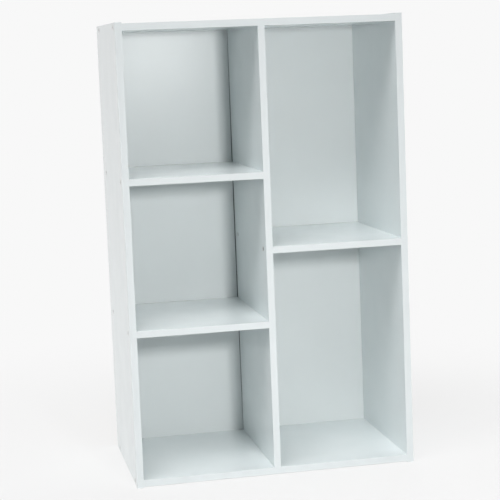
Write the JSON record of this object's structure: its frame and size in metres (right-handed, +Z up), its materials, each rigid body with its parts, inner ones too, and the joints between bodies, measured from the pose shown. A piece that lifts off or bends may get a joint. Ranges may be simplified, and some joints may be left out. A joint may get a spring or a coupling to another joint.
{
  "type": "bookcase",
  "caption": "White free-standing bookcase of screwed boards: a stack of near-square open bays left of a centre divider, taller bays right of it, and a back panel held in grooves.",
  "frame": {"origin": "on the floor, below the middle of the case", "axes": "+Z up, -Y out of the open front, +X to the right as seen from the front"},
  "size_m": [0.5, 0.292, 0.8],
  "materials": {
    "white_board": "chipboard with a white melamine face",
    "white_hardboard": "hardboard with a white lacquered face",
    "white_edging": "white edge strip",
    "screw_steel": "zinc-plated steel"
  },
  "bodies": {
    "root": {"left_side": "white_board", "right_side": "white_board", "top_panel": "white_board", "bottom_panel": "white_board", "centre_divider": "white_board", "upper_left_shelf": "white_board", "lower_left_shelf": "white_board", "right_shelf": "white_board", "back_panel": "white_hardboard", "left_side_front_edging": "white_edging", "right_side_front_edging": "white_edging", "top_panel_edging": "white_edging", "bottom_panel_edging": "white_edging", "centre_divider_edging": "white_edging", "upper_left_shelf_edging": "white_edging", "lower_left_shelf_edging": "white_edging", "right_shelf_edging": "white_edging", "left_side_top_edging": "white_edging", "right_side_top_edging": "white_edging", "left_side_screws": "screw_steel", "right_side_screws": "screw_steel", "divider_to_left_shelf_screws": "screw_steel", "divider_to_right_shelf_screws": "screw_steel", "top_to_divider_screws": "screw_steel", "bottom_to_divider_screws": "screw_steel"}
  },
  "joints": []
}
